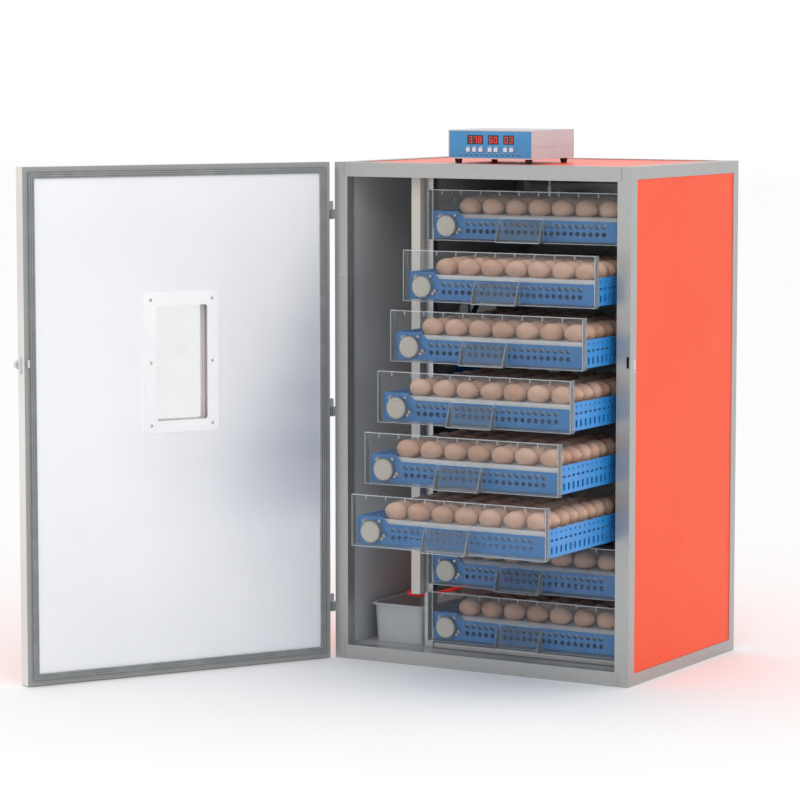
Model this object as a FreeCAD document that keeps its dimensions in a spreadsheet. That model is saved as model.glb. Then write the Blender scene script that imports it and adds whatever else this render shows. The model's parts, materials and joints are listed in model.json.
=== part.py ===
import FreeCAD, Part
import Sketcher
import math
import os
import re

# Cabinet egg incubator with eight roller trays, in millimetres.
# +X is to the right, +Z is up and the door side faces -Y.
# The origin is the middle of the cabinet's base.

doc = FreeCAD.newDocument("egg_incubator")
sheet = doc.addObject("Spreadsheet::Sheet", "dims")

SIZES = [
    # cabinet
    ("case_width", 765), ("case_depth", 560), ("case_height", 1160),
    ("post_face", 34), ("front_side", 30), ("rear_side", 26),
    ("beam_face", 33), ("side_beam", 28), ("profile_wall", 2),
    ("panel_thick", 28), ("panel_recess", 2), ("post_bore", 6),
    # door
    ("door_gap", 6), ("door_thick", 36), ("door_lift", 2), ("door_inset", 1),
    ("open_angle", 120.4), ("pivot_out", 4.5), ("pivot_front", 8),
    ("knuckle_radius", 4.4), ("pin_radius", 2.5), ("knuckle_length", 22),
    ("seal_inset", 12), ("seal_width", 14), ("seal_gap", 0.4),
    ("window_middle", 714), ("window_clear_wide", 132), ("window_clear_tall", 265),
    ("bezel_wide", 186), ("bezel_tall", 320), ("bezel_thick", 3), ("bezel_round", 9),
    ("pane_thick", 14), ("pane_lap", 12),
    # latch
    ("latch_height", 720), ("latch_inset", 6), ("knob_radius", 11), ("knob_length", 14),
    ("latch_neck", 2.2), ("hook_reach", 15), ("hook_thick", 3), ("hook_half", 2.2),
    # trays
    ("tray_left", -154), ("tray_wide", 488), ("tray_top", 1100), ("tray_pitch", 132.8),
    ("tray_home", 35), ("tray_step", 56.2), ("cover_tall", 116), ("cover_deep", 19.6),
    ("cover_wall", 3),
    ("basket_inset", 4.5), ("basket_deep", 452), ("basket_tall", 62), ("basket_lift", 4),
    ("basket_wall", 3), ("basket_floor", 2.5), ("ledge_in", 47), ("front_wall_tall", 47),
    ("mount_wide", 78),
    ("hole_radius", 5.4), ("hole_pitch", 16.5), ("low_hole", 18), ("high_hole", 35),
    ("slot_pitch", 22), ("slot_wide", 9), ("slot_tall", 17), ("slot_low", 7),
    ("handle_wide", 112), ("handle_tall", 56), ("handle_out", 24), ("handle_wall", 2.5),
    ("rib_pitch", 50), ("rib_tall", 11), ("rib_deep", 1.6),
    ("motor_in", 43.5), ("motor_up", 29), ("motor_radius", 25), ("motor_thick", 14),
    # rollers
    ("roller_radius", 13), ("roller_bore", 10.5), ("roller_pitch", 43.5),
    ("roller_up", 43), ("roller_first", 18), ("roller_start", 52), ("roller_span", 420),
    ("link_thick", 3.5), ("link_tall", 14), ("roller_travel", 20),
    # rack
    ("rack_front", 60), ("rack_deep", 458), ("rack_post", 22), ("rack_right", 13.5),
    ("rail_thick", 2), ("rail_tall", 24), ("rail_lip", 18), ("rail_gap", 0.6),
    # air duct and fan
    ("duct_face", -200), ("duct_wide", 23), ("duct_deep", 29), ("duct_front", 40),
    ("duct_foot", 160), ("duct_sheet", 2), ("fan_along", 310), ("fan_up", 735),
    ("fan_opening", 118), ("fan_radius", 108), ("hub_radius", 30), ("blade_count", 5),
    # heater, basin and sensor
    ("heater_radius", 4.5), ("heater_up", 137), ("heater_left", -290), ("heater_gap", 70),
    ("heater_front", 190), ("heater_end", 524),
    ("basin_left", -330), ("basin_wide", 150), ("basin_front", 66), ("basin_deep", 236),
    ("basin_tall", 92), ("basin_wall", 2.5), ("basin_rim", 7), ("basin_draft", 5),
    ("probe_across", 147), ("probe_front", 62), ("probe_low", 1088),
    # controller
    ("box_left", -137), ("box_front", 100), ("box_wide", 219), ("box_deep", 203),
    ("box_tall", 66), ("box_wall", 2.5), ("foot_tall", 9), ("foot_radius", 9),
    ("fascia_thick", 2), ("fascia_recess", 1),
    ("button_side", 9.4), ("button_gap", 0.3), ("button_out", 2.5), ("button_up", 18.5),
]
for row, (alias, value) in enumerate(SIZES, start=1):
    sheet.set("A%d" % row, alias)
    sheet.set("B%d" % row, str(value))
    sheet.setAlias("B%d" % row, alias)
doc.recompute()

FUNCTIONS = {"sin", "cos", "tan", "sqrt", "deg"}
parts = []


def formula(text):
    """Turn the words of a formula into references to the sheet."""
    def word(match):
        name = match.group(0)
        return name if name in FUNCTIONS else "dims." + name
    return re.sub(r"[a-z][a-z_]*", word, str(text))


def size(alias):
    """The number that a cell of the sheet holds."""
    return float(sheet.get(alias))


def bind(item, **sizes):
    """Bind properties of an object to formulas."""
    for name, text in sizes.items():
        item.setExpression(name, formula(text))
    return item


def place(item, corner, turn=None):
    """Put an object's own origin at a corner given by three formulas."""
    if turn is not None:
        item.Placement = FreeCAD.Placement(FreeCAD.Vector(), turn)
    for axis, text in zip("xyz", corner):
        item.setExpression(".Placement.Base." + axis, formula(text))
    return item


def back(text):
    """A depth measured back from the cabinet's front face."""
    return "%s - case_depth / 2" % text


def keep(item, label):
    """Name a finished sub-part, so that it is written out."""
    item.Label = label
    parts.append(item)
    return item


def block(corner, sides, name="block"):
    """A box between a corner and that corner plus three lengths."""
    item = doc.addObject("Part::Box", name)
    bind(item, Length=sides[0], Width=sides[1], Height=sides[2])
    return place(item, corner)


ALONG = {
    "x": FreeCAD.Rotation(FreeCAD.Vector(0, 1, 0), 90),
    "y": FreeCAD.Rotation(FreeCAD.Vector(1, 0, 0), -90),
    "z": FreeCAD.Rotation(),
}


def rod(start, radius, length, along="z", name="rod"):
    """A round bar that runs the given way from its start."""
    item = doc.addObject("Part::Cylinder", name)
    bind(item, Radius=radius, Height=length)
    return place(item, start, ALONG[along])


def cone(start, first, last, length, along="z"):
    """A tapered round bar."""
    item = doc.addObject("Part::Cone", "cone")
    bind(item, Radius1=first, Radius2=last, Height=length)
    return place(item, start, ALONG[along])


def fuse(pieces, name="joined"):
    """Join pieces into one solid."""
    item = doc.addObject("Part::MultiFuse", name)
    item.Shapes = pieces
    item.Refine = True
    return item


def cut(base, tools, name="cut"):
    """Take tools away from a base."""
    item = doc.addObject("Part::Cut", name)
    item.Base = base
    item.Tool = tools[0] if len(tools) == 1 else fuse(tools, "tools")
    return item


# ---- helpers for sketched bodies ----

def new_body(label, corner, turn=None):
    body = doc.addObject("PartDesign::Body", label)
    place(body, corner, turn)
    return keep(body, label)


def sketch_on(body, role, lift="0"):
    """A sketch on one of the body's origin planes, lifted along its normal."""
    sketch = body.newObject("Sketcher::SketchObject", "sketch")
    support = next(o for o in body.Origin.OriginFeatures if o.Role == role)
    sketch.AttachmentSupport = (support, [""])
    sketch.MapMode = "FlatFace"
    sketch.setExpression(".AttachmentOffset.Base.z", formula(lift))
    return sketch


def outline(sketch, points):
    """A closed outline through points given as pairs of formulas."""
    values = [[evaluate(text) for text in pair] for pair in points]
    first = sketch.GeometryCount
    count = len(points)
    for i in range(count):
        start = FreeCAD.Vector(*values[i], 0)
        end = FreeCAD.Vector(*values[(i + 1) % count], 0)
        sketch.addGeometry(Part.LineSegment(start, end))
    for i in range(count):
        after = first + (i + 1) % count
        sketch.addConstraint(Sketcher.Constraint("Coincident", first + i, 2, after, 1))
    for i, (across, up) in enumerate(points):
        index = sketch.addConstraint(
            Sketcher.Constraint("DistanceX", -1, 1, first + i, 1, values[i][0]))
        sketch.setExpression("Constraints[%d]" % index, formula(across))
        index = sketch.addConstraint(
            Sketcher.Constraint("DistanceY", -1, 1, first + i, 1, values[i][1]))
        sketch.setExpression("Constraints[%d]" % index, formula(up))
    return sketch


def rectangle(sketch, left, low, wide, tall):
    right = "%s + %s" % (left, wide)
    high = "%s + %s" % (low, tall)
    return outline(sketch, [(left, low), (right, low), (right, high), (left, high)])


def rounded(sketch, left, low, wide, tall, radius):
    """A rectangle whose four corners are arcs."""
    x0, y0, w, t, r = [evaluate(text) for text in (left, low, wide, tall, radius)]
    near, far = "%s + %s" % (left, radius), "%s + %s - %s" % (left, wide, radius)
    bottom, top = "%s + %s" % (low, radius), "%s + %s - %s" % (low, tall, radius)
    middles = [(near, bottom), (far, bottom), (far, top), (near, top)]
    corners = [(x0, y0), (x0 + w, y0), (x0 + w, y0 + t), (x0, y0 + t)]
    normal = FreeCAD.Vector(0, 0, 1)
    arcs = []
    for i, (across, up) in enumerate(middles):
        middle = FreeCAD.Vector(evaluate(across), evaluate(up), 0)
        start = math.pi * (1 + i / 2)
        arc = Part.ArcOfCircle(Part.Circle(middle, normal, r), start, start + math.pi / 2)
        arcs.append(sketch.addGeometry(arc))
    for i in range(4):
        here, after = corners[i], corners[(i + 1) % 4]
        run_x, run_y = after[0] - here[0], after[1] - here[1]
        length = math.hypot(run_x, run_y)
        step = FreeCAD.Vector(run_x, run_y, 0) * (r / length)
        line = Part.LineSegment(FreeCAD.Vector(*here, 0) + step,
                                FreeCAD.Vector(*after, 0) - step)
        side = sketch.addGeometry(line)
        sketch.addConstraint(Sketcher.Constraint("Tangent", arcs[i], 2, side, 1))
        sketch.addConstraint(Sketcher.Constraint("Tangent", side, 2, arcs[(i + 1) % 4], 1))
    for arc, middle in zip(arcs, middles):
        for kind, text in zip(("DistanceX", "DistanceY"), middle):
            index = sketch.addConstraint(
                Sketcher.Constraint(kind, -1, 1, arc, 3, evaluate(text)))
            sketch.setExpression("Constraints[%d]" % index, formula(text))
        index = sketch.addConstraint(Sketcher.Constraint("Radius", arc, r))
        sketch.setExpression("Constraints[%d]" % index, formula(radius))
    return sketch


def circle(sketch, across, up, radius):
    middle = FreeCAD.Vector(evaluate(across), evaluate(up), 0)
    normal = FreeCAD.Vector(0, 0, 1)
    item = sketch.addGeometry(Part.Circle(middle, normal, evaluate(radius)))
    for kind, text in (("DistanceX", across), ("DistanceY", up)):
        index = sketch.addConstraint(
            Sketcher.Constraint(kind, -1, 1, item, 3, evaluate(text)))
        sketch.setExpression("Constraints[%d]" % index, formula(text))
    index = sketch.addConstraint(Sketcher.Constraint("Radius", item, evaluate(radius)))
    sketch.setExpression("Constraints[%d]" % index, formula(radius))
    return sketch


def evaluate(text):
    """The present value of a formula, as a starting size for a sketch."""
    probe = sheet.evalExpression(formula(text))
    return float(probe)


def faces_front(sketch):
    """A sketch on the XZ plane has its normal along -Y."""
    return sketch.AttachmentSupport[0][0].Role == "XZ_Plane"


def pad(body, sketch, length):
    """Add material from the sketch towards +X, +Y or +Z."""
    feature = body.newObject("PartDesign::Pad", "pad")
    feature.Profile = sketch
    feature.Reversed = faces_front(sketch)
    bind(feature, Length=length)
    body.Tip = feature
    return feature


def pocket(body, sketch, length=None):
    """Cut from the sketch towards +X, +Y or +Z, right through by default."""
    feature = body.newObject("PartDesign::Pocket", "pocket")
    feature.Profile = sketch
    feature.Reversed = not faces_front(sketch)
    if length is None:
        feature.Type = "ThroughAll"
    else:
        bind(feature, Length=length)
    body.Tip = feature
    return feature


def row_of(body, feature, sketch, axis, count, spacing):
    """Repeat a feature along a sketch axis."""
    pattern = body.newObject("PartDesign::LinearPattern", "row")
    pattern.Originals = [feature]
    pattern.Direction = (sketch, [axis])
    pattern.Mode = "Spacing"
    pattern.Occurrences = count
    bind(pattern, Offset=spacing)
    body.Tip = pattern
    return pattern


# ---- cabinet frame ----

def bar_cage(grow, label):
    """The twelve bars of the frame, shrunk on every side by grow."""
    g = grow
    whole = block(["-case_width / 2 + %s" % g, back("0") + " + %s" % g, g],
                  ["case_width - 2 * %s" % g, "case_depth - 2 * %s" % g,
                   "case_height - 2 * %s" % g])
    inner_wide = "case_width - 2 * post_face + 2 * %s" % g
    inner_left = "-case_width / 2 + post_face - %s" % g
    through_front = block([inner_left, back("-1"), "beam_face - %s" % g],
                          [inner_wide, "case_depth + 2",
                           "case_height - 2 * beam_face + 2 * %s" % g])
    inner_deep = "case_depth - front_side - rear_side + 2 * %s" % g
    inner_front = back("front_side - %s" % g)
    through_side = block(["-case_width / 2 - 1", inner_front, "side_beam - %s" % g],
                         ["case_width + 2", inner_deep,
                          "case_height - 2 * side_beam + 2 * %s" % g])
    through_top = block([inner_left, inner_front, "-1"],
                        [inner_wide, inner_deep, "case_height + 2"])
    return cut(whole, [through_front, through_side, through_top], label)


HINGE_HEIGHTS = ["110", "case_height / 2 - 11", "case_height - 132"]
PIVOT_X = "-case_width / 2 - pivot_out"
PIVOT_Y = back("-pivot_front")


def fixed_knuckle(height):
    """A hinge leaf on the cabinet's left side, with its pin pointing up."""
    leaf = block(["-case_width / 2 - pivot_out - 1.5", back("-pivot_front"), height],
                 ["pivot_out + 1.5", "pivot_front + 22", "knuckle_length"])
    barrel = rod([PIVOT_X, PIVOT_Y, height], "knuckle_radius", "knuckle_length")
    pin = rod([PIVOT_X, PIVOT_Y, height], "pin_radius", "2 * knuckle_length - 2")
    return [leaf, barrel, pin]


cage = cut(bar_cage("0", "bars"), [bar_cage("profile_wall", "bar_hollows")], "hollow_bars")
drains = []
for side in ("-1", "1"):
    for depth in ("front_side / 2", "case_depth - rear_side / 2"):
        drains.append(rod([side + " * (case_width - post_face) / 2", back(depth), "-1"],
                          "post_bore", "profile_wall + 2"))
keeper_slot = block(["case_width / 2 - latch_inset - 3.2", back("-1"), "latch_height - 4"],
                    ["6.4", "profile_wall + 2", "hook_reach + 10"])
bored_cage = cut(cage, drains + [keeper_slot], "bored_cage")
hinge_leaves = []
for height in HINGE_HEIGHTS:
    hinge_leaves += fixed_knuckle(height)
keep(fuse([bored_cage] + hinge_leaves, "frame"), "cabinet_frame")


# ---- insulated panels ----

def sandwich(label, corner, plane, wide, tall, thick="panel_thick"):
    """A flat insulated panel, drawn on one plane and padded to its thickness."""
    body = new_body(label, corner)
    sketch = rectangle(sketch_on(body, plane), "0", "0", wide, tall)
    pad(body, sketch, thick)
    return body


side_deep = "case_depth - front_side - rear_side"
side_tall = "case_height - 2 * side_beam"
inner_wide = "case_width - 2 * post_face"
sandwich("left_panel", ["-case_width / 2 + panel_recess", back("front_side"), "side_beam"],
         "YZ_Plane", side_deep, side_tall)
sandwich("right_panel",
         ["case_width / 2 - panel_recess - panel_thick", back("front_side"), "side_beam"],
         "YZ_Plane", side_deep, side_tall)
sandwich("top_panel",
         ["-case_width / 2 + post_face", back("front_side"),
          "case_height - panel_recess - panel_thick"],
         "XY_Plane", inner_wide, side_deep)
sandwich("bottom_panel",
         ["-case_width / 2 + post_face", back("front_side"), "0"],
         "XY_Plane", inner_wide, side_deep, "beam_face")
sandwich("rear_panel",
         ["-case_width / 2 + post_face", back("case_depth - panel_recess - panel_thick"),
          "beam_face"],
         "XZ_Plane", inner_wide, "case_height - 2 * beam_face")


# ---- door, drawn closed and then swung open about the hinge pins ----

def swing(item, across, depth, up):
    """Turn a piece drawn in the closed door's frame to the open angle.

    across is measured right from the hinge pins and depth back from them.
    """
    item.setExpression(".Placement.Base.x", formula(
        "%s + (%s) * cos(open_angle * 1deg) + (%s) * sin(open_angle * 1deg)"
        % (PIVOT_X, across, depth)))
    item.setExpression(".Placement.Base.y", formula(
        "%s - (%s) * sin(open_angle * 1deg) + (%s) * cos(open_angle * 1deg)"
        % (PIVOT_Y, across, depth)))
    item.setExpression(".Placement.Base.z", formula(up))
    return item


SWUNG = FreeCAD.Rotation(FreeCAD.Vector(0, 0, 1), -size("open_angle"))
LEAF_START = "pivot_out + door_inset"
LEAF_WIDE = "case_width - door_inset"
LEAF_INNER = "pivot_front - door_gap"
LEAF_MIDDLE = "pivot_out + case_width / 2"


def door_body(label, across, depth, up):
    """A sketched body whose X runs along the door and whose Y runs inwards."""
    body = doc.addObject("PartDesign::Body", label)
    body.Placement = FreeCAD.Placement(FreeCAD.Vector(), SWUNG)
    swing(body, across, depth, up)
    return keep(body, label)


door = door_body("door_leaf", "0", LEAF_INNER + " - door_thick", "door_lift")
leaf_tall = "case_height - door_lift"
leaf = rectangle(sketch_on(door, "XZ_Plane"), LEAF_START, "0", LEAF_WIDE, leaf_tall)
pad(door, leaf, "door_thick")
hole_left = LEAF_MIDDLE + " - window_clear_wide / 2 - 4"
hole_low = "window_middle - window_clear_tall / 2 - 4 - door_lift"
hole = rounded(sketch_on(door, "XZ_Plane", "1"), hole_left, hole_low,
               "window_clear_wide + 8", "window_clear_tall + 8", "bezel_round")
pocket(door, hole)
seat = rectangle(sketch_on(door, "XZ_Plane", "-(door_thick - pane_thick) / 2"),
                 LEAF_MIDDLE + " - window_clear_wide / 2 - pane_lap",
                 "window_middle - window_clear_tall / 2 - pane_lap - door_lift",
                 "window_clear_wide + 2 * pane_lap", "window_clear_tall + 2 * pane_lap")
pocket(door, seat, "pane_thick")
for height in HINGE_HEIGHTS:
    low = "%s + knuckle_length + 0.5 - door_lift" % height
    web = rectangle(sketch_on(door, "XY_Plane", low), "0",
                    "door_thick - pivot_front + door_gap - knuckle_radius",
                    LEAF_START + " + 1", "knuckle_radius + 1.8")
    pad(door, web, "knuckle_length - 4")
    barrel = circle(sketch_on(door, "XY_Plane", low), "0",
                    "door_thick - pivot_front + door_gap", "knuckle_radius")
    pad(door, barrel, "knuckle_length - 4")
for height in HINGE_HEIGHTS:
    low = "%s + knuckle_length - 1 - door_lift" % height
    bore = circle(sketch_on(door, "XY_Plane", low), "0",
                  "door_thick - pivot_front + door_gap", "pin_radius + 0.08")
    pocket(door, bore, "knuckle_length")
latch_across = "pivot_out + case_width - latch_inset"
latch_hole = circle(sketch_on(door, "XZ_Plane", "1"), latch_across, "latch_height - door_lift",
                    "latch_neck + 0.1")
pocket(door, latch_hole)

seal = door_body("door_gasket", LEAF_START + " + seal_inset", LEAF_INNER,
                 "door_lift + seal_inset")
seal_wide = LEAF_WIDE + " - 2 * seal_inset"
seal_tall = leaf_tall + " - 2 * seal_inset"
ring = rectangle(sketch_on(seal, "XZ_Plane"), "0", "0", seal_wide, seal_tall)
pad(seal, ring, "door_gap - seal_gap")
gap = rectangle(sketch_on(seal, "XZ_Plane", "1"), "seal_width", "seal_width",
                seal_wide + " - 2 * seal_width", seal_tall + " - 2 * seal_width")
pocket(seal, gap)


bezels = door_body("window_bezels", LEAF_MIDDLE, LEAF_INNER + " - door_thick",
                   "window_middle")
for face in ("bezel_thick", "-door_thick"):
    plate = sketch_on(bezels, "XZ_Plane", face)
    rounded(plate, "-bezel_wide / 2", "-bezel_tall / 2", "bezel_wide", "bezel_tall",
            "bezel_round")
    rounded(plate, "-window_clear_wide / 2", "-window_clear_tall / 2",
            "window_clear_wide", "window_clear_tall", "bezel_round - 2")
    pad(bezels, plate, "bezel_thick")

pane = door_body("window_pane",
                 LEAF_MIDDLE + " - window_clear_wide / 2 - pane_lap + 0.3",
                 LEAF_INNER + " - (door_thick + pane_thick) / 2 + 0.2",
                 "window_middle - window_clear_tall / 2 - pane_lap + 0.3")
glass = rectangle(sketch_on(pane, "XZ_Plane"), "0", "0",
                  "window_clear_wide + 2 * pane_lap - 0.6",
                  "window_clear_tall + 2 * pane_lap - 0.6")
pad(pane, glass, "pane_thick - 0.4")

# Quarter-turn latch: a knob outside, a neck through the leaf and a one-sided hook.
latch = door_body("door_latch", latch_across, LEAF_INNER, "latch_height")
knob = circle(sketch_on(latch, "XZ_Plane", "door_thick + 0.3 + knob_length"), "0", "0",
              "knob_radius")
pad(latch, knob, "knob_length")
neck = circle(sketch_on(latch, "XZ_Plane", "door_thick + 1"), "0", "0", "latch_neck")
pad(latch, neck, "door_thick + 1 + door_gap + profile_wall + 3")
hook = rectangle(sketch_on(latch, "XZ_Plane", "-(door_gap + profile_wall + 1.5)"),
                 "-hook_half", "-hook_half", "2 * hook_half", "hook_reach + hook_half")
pad(latch, hook, "hook_thick")


# ---- tray rack ----

def rack():
    """Four square tubes, sixteen angle rails and four cross bars, welded face to face."""
    floor = "beam_face"
    ceiling = "case_height - panel_recess - panel_thick"
    tall = "%s - %s" % (ceiling, floor)
    right = "tray_left + tray_wide"
    pieces = []
    for depth in ("rack_front", "rack_front + rack_deep - rack_post"):
        for left, wide in (("tray_left - rack_post", "rack_post"), (right, "rack_right")):
            tube = block([left, back(depth), floor], [wide, "rack_post", tall])
            hollow = block([left + " + 2", back(depth + " + 2"), floor + " - 1"],
                           [wide + " - 4", "rack_post - 4", tall + " + 2"])
            pieces.append(cut(tube, [hollow], "tube"))
    for i in range(8):
        lip = "tray_top - cover_tall - %d * tray_pitch + basket_lift" % i
        lip += " - rail_gap - rail_thick"
        for web, flat in (("tray_left", "tray_left"),
                          (right + " - rail_thick", right + " - rail_lip")):
            rail_web = block([web, back("rack_front"), lip],
                             ["rail_thick", "rack_deep", "rail_tall"])
            rail_flat = block([flat, back("rack_front"), lip],
                              ["rail_lip", "rack_deep", "rail_thick"])
            pieces.append(fuse([rail_web, rail_flat], "rail"))
    for low in ("100", "640", "case_height - 80"):
        pieces.append(block(["tray_left", back("rack_front + rack_deep - 7"), low],
                            ["tray_wide", "6", "22"]))
    pieces.append(block(["tray_left", back("rack_front + 4"), floor + " + 1"],
                        ["tray_wide", "12", "12"]))
    group = doc.addObject("Part::Compound", "rack")
    group.Links = pieces
    return group


keep(rack(), "tray_rack")


# ---- trays ----
# How far each tray stands out of the cabinet, counted in tray steps.
OUT_STEPS = [0, 2, 3, 4, 5, 6, 0, 0]


def tray_depth(number):
    """Depth of the clear cover's front for one tray."""
    return "tray_home - %d * tray_step" % OUT_STEPS[number - 1]


def tray_low(number):
    return "tray_top - cover_tall - %d * tray_pitch" % (number - 1)


def basket(number):
    """Perforated basket: floor, four walls, roller ledges and a motor mount."""
    wide = "tray_wide - 2 * basket_inset"
    body = new_body("tray_%d_basket" % number,
                    ["tray_left + basket_inset",
                     back(tray_depth(number) + " + cover_deep + 0.4"),
                     tray_low(number) + " + basket_lift"])
    base = rectangle(sketch_on(body, "XY_Plane"), "0", "0", wide, "basket_deep")
    pad(body, base, "basket_tall")
    inside = rectangle(sketch_on(body, "XY_Plane", "basket_floor"),
                       "basket_wall", "basket_wall", wide + " - 2 * basket_wall",
                       "basket_deep - 2 * basket_wall")
    pocket(body, inside, "basket_tall")
    # lower front wall beside the sloped end of the motor mount
    drop = outline(sketch_on(body, "XZ_Plane", "1"), [
        ("mount_wide", "front_wall_tall"),
        (wide + " - basket_wall", "front_wall_tall"),
        (wide + " - basket_wall", "basket_tall + 1"),
        ("mount_wide - 16", "basket_tall + 1")])
    pocket(body, drop, "basket_wall + 2")
    # ledges that carry the roller links
    ledge_up = "roller_up - roller_radius - 0.5"
    ledge_deep = "basket_deep - 2 * basket_wall + 1"
    ledge = rectangle(sketch_on(body, "XY_Plane", ledge_up + " - 3"), "ledge_in",
                      "basket_wall - 0.5", "roller_start + 12 - ledge_in", ledge_deep)
    pad(body, ledge, "3")
    web = rectangle(sketch_on(body, "XY_Plane"), "ledge_in", "basket_wall - 0.5", "3",
                    ledge_deep)
    pad(body, web, ledge_up)
    right_ledge = rectangle(sketch_on(body, "XY_Plane", ledge_up + " - 3"),
                            wide + " - basket_wall - 12", "basket_wall - 0.5", "12.5",
                            ledge_deep)
    pad(body, right_ledge, "3")
    # open floor under each row of eggs
    floor_sketch = sketch_on(body, "XY_Plane", "-1")
    rounded(floor_sketch, "64", "24", wide + " - 90", "24", "6")
    floor_slot = pocket(body, floor_sketch, "basket_floor + 1.4")
    row_of(body, floor_slot, floor_sketch, "V_Axis", 9, "roller_pitch")
    # two rows of round holes across the front
    front_sketch = sketch_on(body, "XZ_Plane", "1")
    circle(front_sketch, "mount_wide + 12", "low_hole", "hole_radius")
    circle(front_sketch, "mount_wide + 12", "high_hole", "hole_radius")
    front_holes = pocket(body, front_sketch, "basket_wall + 2")
    row_of(body, front_holes, front_sketch, "H_Axis", 22, "hole_pitch")
    # tall and small slots along both sides
    side_sketch = sketch_on(body, "YZ_Plane", "-1")
    rounded(side_sketch, "12", "slot_low", "slot_wide", "slot_tall", "slot_wide * 0.46")
    outline(side_sketch, [("12", "55"), ("16", "48"), ("20", "55")])
    rectangle(side_sketch, "11", "35", "12", "5")
    side_slots = pocket(body, side_sketch)
    row_of(body, side_slots, side_sketch, "H_Axis", 20, "slot_pitch")
    # motor shaft hole
    shaft = circle(sketch_on(body, "XZ_Plane", "1"), "motor_in - basket_inset",
                   "motor_up", "4")
    pocket(body, shaft, "basket_wall + 2")
    return body


def clear_front(number):
    """Clear front cover: sheet, returns, ribs and a wedge-shaped finger pull."""
    body = new_body("tray_%d_front" % number,
                    ["tray_left", back(tray_depth(number) + " - handle_out"),
                     tray_low(number)])
    box = rectangle(sketch_on(body, "XY_Plane"), "0", "handle_out", "tray_wide", "cover_deep")
    pad(body, box, "cover_tall")
    inside = rectangle(sketch_on(body, "XY_Plane", "cover_wall"), "cover_wall",
                       "handle_out + cover_wall", "tray_wide - 2 * cover_wall", "cover_deep")
    pocket(body, inside, "cover_tall")
    start = "tray_wide / 2 - handle_wide / 2"
    wedge = outline(sketch_on(body, "YZ_Plane", start), [
        ("0", "0"), ("handle_out + 1", "0"), ("handle_out + 1", "handle_tall"),
        ("handle_out - 2", "handle_tall")])
    pad(body, wedge, "handle_wide")
    hollow = outline(sketch_on(body, "YZ_Plane", start + " + handle_wall"), [
        ("handle_wall", "-1"), ("handle_out", "-1"),
        ("handle_out", "handle_tall - 3 * handle_wall"),
        ("handle_out - 2", "handle_tall - 3 * handle_wall")])
    pocket(body, hollow, "handle_wide - 2 * handle_wall")
    rib_sketch = sketch_on(body, "XY_Plane", "cover_tall - rib_tall")
    rectangle(rib_sketch, "36", "handle_out + cover_wall - 0.5", "1.6", "rib_deep + 0.5")
    rib = pad(body, rib_sketch, "rib_tall")
    row_of(body, rib, rib_sketch, "H_Axis", 9, "rib_pitch")
    return body


def tray_motor(number):
    """Round synchronous motor on the front wall: can, two ears and a shaft."""
    across = "tray_left + motor_in"
    depth = tray_depth(number) + " + cover_deep + 0.4"
    up = tray_low(number) + " + basket_lift + motor_up"
    can = rod([across, back(depth + " - motor_thick"), up], "motor_radius",
              "motor_thick", "y")
    soft = doc.addObject("Part::Fillet", "soft_can")
    soft.Base = can
    doc.recompute()
    soft.Edges = [(i + 1, 1.5, 1.5) for i, e in enumerate(can.Shape.Edges)
                  if e.Curve.TypeId == "Part::GeomCircle"
                  and e.CenterOfMass.y < can.Shape.CenterOfMass.y]
    ears = [rod([across + ear_x, back(depth + " - 1.2"), up + ear_up], "5.5", "1.2", "y")
            for ear_x, ear_up in ((" + 29", " - 10"), (" - 20", " + 21"))]
    screws = [rod([across + ear_x, back(depth + " - 3.4"), up + ear_up], "3", "2.4", "y")
              for ear_x, ear_up in ((" + 29", " - 10"), (" - 20", " + 21"))]
    arm = block([across, back(depth + " - 1.2"), up + " - 15.5"], ["29", "1.2", "10"])
    shaft = rod([across, back(depth + " - 1"), up], "3", "12", "y")
    return keep(fuse([soft, arm, shaft] + ears + screws, "motor"), "tray_%d_motor" % number)


def rollers(number):
    """Ten tubes held between two link bars, which ride on the basket's ledges."""
    body = new_body("tray_%d_rollers" % number,
                    ["tray_left + basket_inset + roller_start",
                     back(tray_depth(number) + " + cover_deep + 0.4 + roller_first"),
                     tray_low(number) + " + basket_lift + roller_up"])
    tube_sketch = sketch_on(body, "YZ_Plane", "link_thick - 1")
    circle(tube_sketch, "0", "0", "roller_radius")
    tube = pad(body, tube_sketch, "roller_span - 2 * link_thick + 2")
    row_of(body, tube, tube_sketch, "H_Axis", 10, "roller_pitch")
    for start in ("0", "roller_span - link_thick"):
        link = rectangle(sketch_on(body, "YZ_Plane", start), "0", "-link_tall / 2",
                         "9 * roller_pitch", "link_tall")
        pad(body, link, "link_thick")
    bore_sketch = sketch_on(body, "YZ_Plane", "-1")
    circle(bore_sketch, "0", "0", "roller_bore")
    bore = pocket(body, bore_sketch)
    row_of(body, bore, bore_sketch, "H_Axis", 10, "roller_pitch")
    return body


for tray in range(1, 9):
    basket(tray)
    clear_front(tray)
    tray_motor(tray)
    rollers(tray)


# ---- air duct wall and circulation fan ----

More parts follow.
